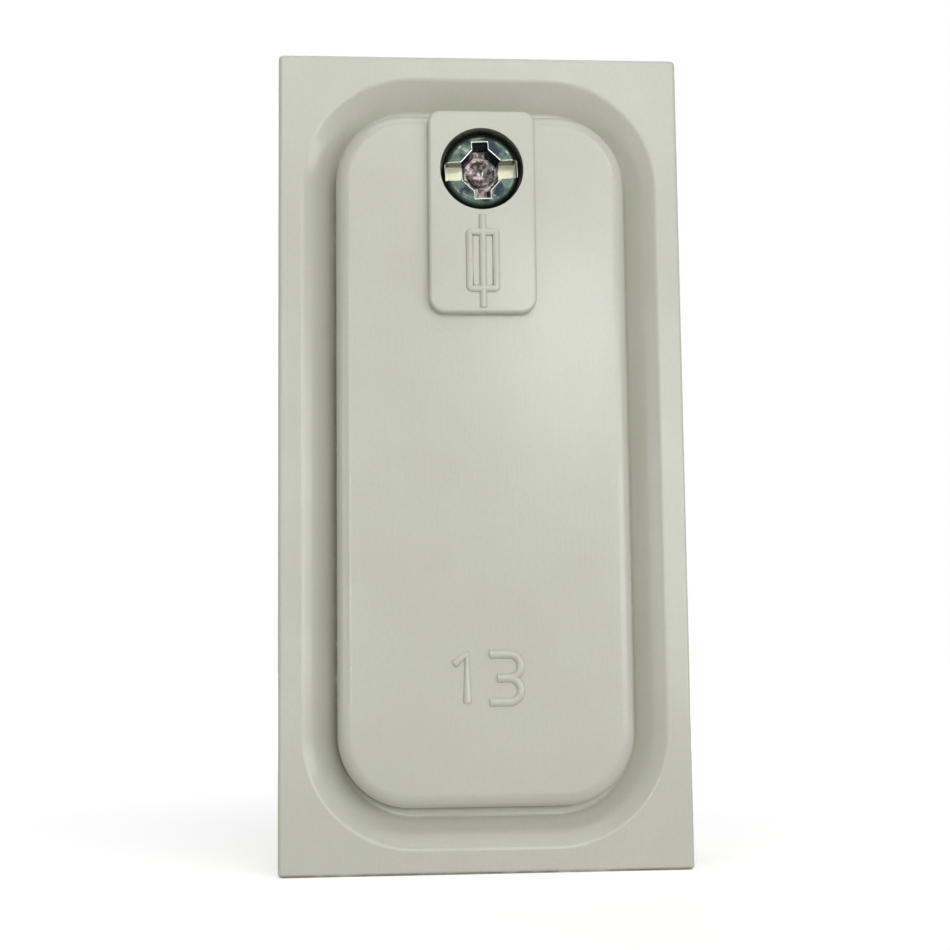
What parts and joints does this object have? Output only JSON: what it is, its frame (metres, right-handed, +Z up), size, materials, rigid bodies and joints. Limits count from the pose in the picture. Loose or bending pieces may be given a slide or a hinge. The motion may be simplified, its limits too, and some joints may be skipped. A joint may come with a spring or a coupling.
{
  "type": "fuse module",
  "caption": "Modular fuse holder for a wiring plate: dished ivory front with a screwed, pull-out fuse carrier, spring jaw contacts and rear screw terminals.",
  "frame": {"origin": "centre of the plane on the flange's rear face, which seats on the wiring plate", "axes": "+X right and +Z up as the user sees the face, -Y towards the user, +Y out of the seat towards the terminals"},
  "size_m": [0.0248, 0.03, 0.05],
  "materials": {
    "front_plastic": "satin",
    "carrier_plastic": "satin",
    "base_plastic": "matte",
    "screw_steel": "polished",
    "spring_steel": "satin",
    "plated_screw": "satin",
    "terminal_brass": "satin",
    "contact_brass": "satin",
    "fuse_ceramic": "matte",
    "fuse_cap_metal": "satin",
    "element_wire": "satin"
  },
  "bodies": {
    "root": {"front_frame": "front_plastic", "rear_base": "base_plastic", "threaded_insert": "terminal_brass", "jaw_contact_upper": "contact_brass", "jaw_contact_lower": "contact_brass", "jaw_spring_upper": "spring_steel", "jaw_spring_lower": "spring_steel", "contact_rivet_upper": "terminal_brass", "contact_rivet_lower": "terminal_brass", "terminal_supply": "terminal_brass", "terminal_load": "terminal_brass", "fixing_screw_left": "plated_screw", "fixing_screw_right": "plated_screw"},
    "carrier": {"fuse_carrier": "carrier_plastic", "fuse_barrel": "fuse_ceramic", "fuse_cap_upper": "fuse_cap_metal", "fuse_cap_lower": "fuse_cap_metal", "fuse_element": "element_wire"},
    "retainer": {"screw_retainer": "spring_steel"},
    "holding_screw": {"carrier_screw": "screw_steel"},
    "supply_clamp": {"clamp_screw_supply": "plated_screw"},
    "load_clamp": {"clamp_screw_load": "plated_screw"}
  },
  "joints": [
    {"name": "carrier_pull", "type": "slide", "parent": "root", "child": "carrier", "axis": [0, -1, 0], "range_m": [0, 0.015]},
    {"name": "screw_travel", "type": "slide", "parent": "carrier", "child": "retainer", "axis": [0, -1, 0], "range_m": [0, 0.004]},
    {"name": "screw_turn", "type": "hinge", "parent": "retainer", "child": "holding_screw", "pos_m": [0, 0, 0.0174], "axis": [0, -1, 0], "range_deg": [0, 2880]},
    {"name": "supply_clamp_travel", "type": "slide", "parent": "root", "child": "supply_clamp", "axis": [0, -1, 0], "range_m": [0, 0.0036]},
    {"name": "load_clamp_travel", "type": "slide", "parent": "root", "child": "load_clamp", "axis": [0, -1, 0], "range_m": [0, 0.0036]}
  ],
  "couplings": [
    {"joint": "screw_turn", "follows": "screw_travel", "rad_per_m": 12566}
  ]
}
